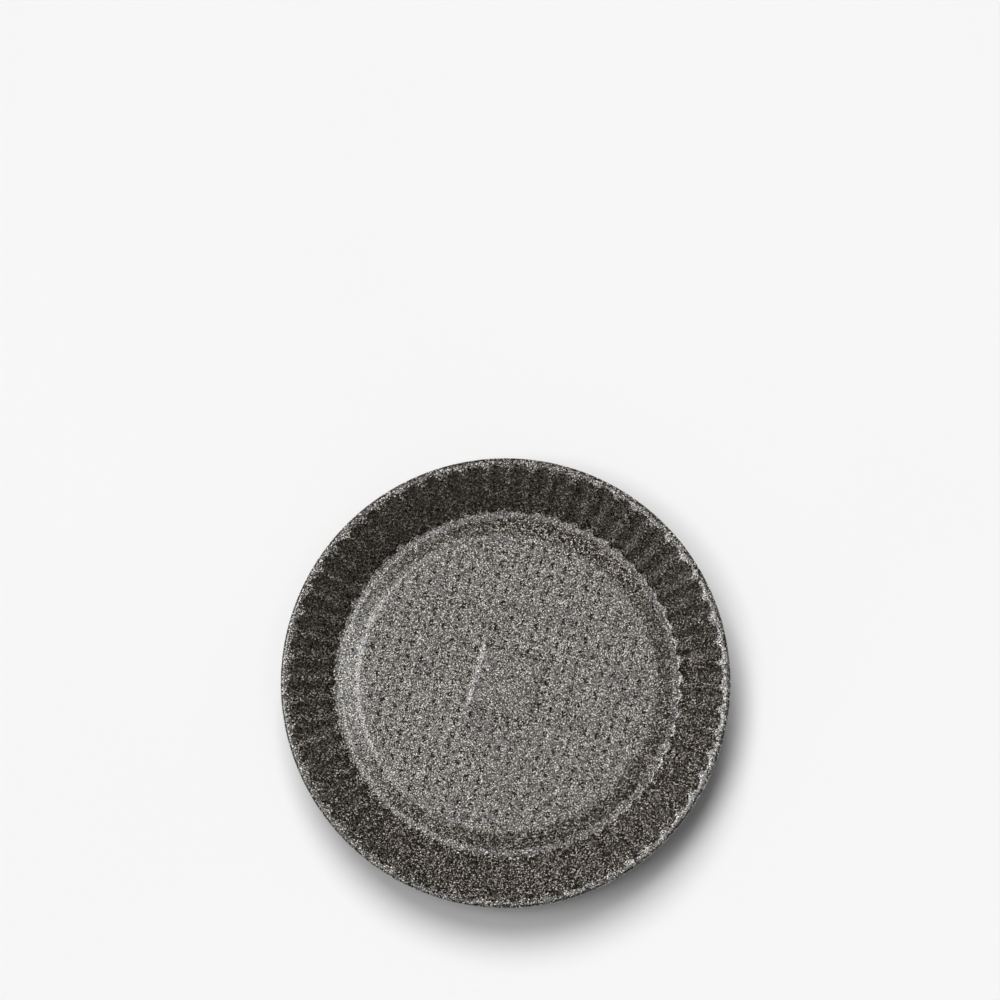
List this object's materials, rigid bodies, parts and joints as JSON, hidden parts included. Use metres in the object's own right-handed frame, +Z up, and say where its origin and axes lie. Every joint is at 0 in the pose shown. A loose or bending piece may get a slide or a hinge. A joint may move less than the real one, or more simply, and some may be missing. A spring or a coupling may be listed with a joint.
{
  "type": "fluted tart pan",
  "caption": "Round tart pan: flaring fluted ring with a rolled, wired rim and an inward foot lip, and a loose pressed base plate that lies on the lip and lifts out.",
  "frame": {"origin": "centre of the foot, on the surface that the pan stands on", "axes": "+Z up along the pan's axis; +X to the right and +Y away in the plan view of the picture, where a ridge of the flutes lies one degree clockwise from +X"},
  "size_m": [0.28, 0.28, 0.04],
  "materials": {
    "ring_coat": "satin taupe-brown outside, charcoal non-stick coat with pale specks inside and over the rim",
    "base_coat": "charcoal non-stick coat with dense pale specks, satin",
    "wire_steel": "plain drawn steel wire, hidden in the rim"
  },
  "bodies": {
    "ring": {"fluted_ring": "ring_coat", "rim_wire": "wire_steel"},
    "base": {"loose_base": "base_coat"}
  },
  "joints": [
    {"name": "base_lift", "type": "slide", "parent": "ring", "child": "base", "axis": [0, 0, 1], "range_m": [0, 0.05]}
  ]
}
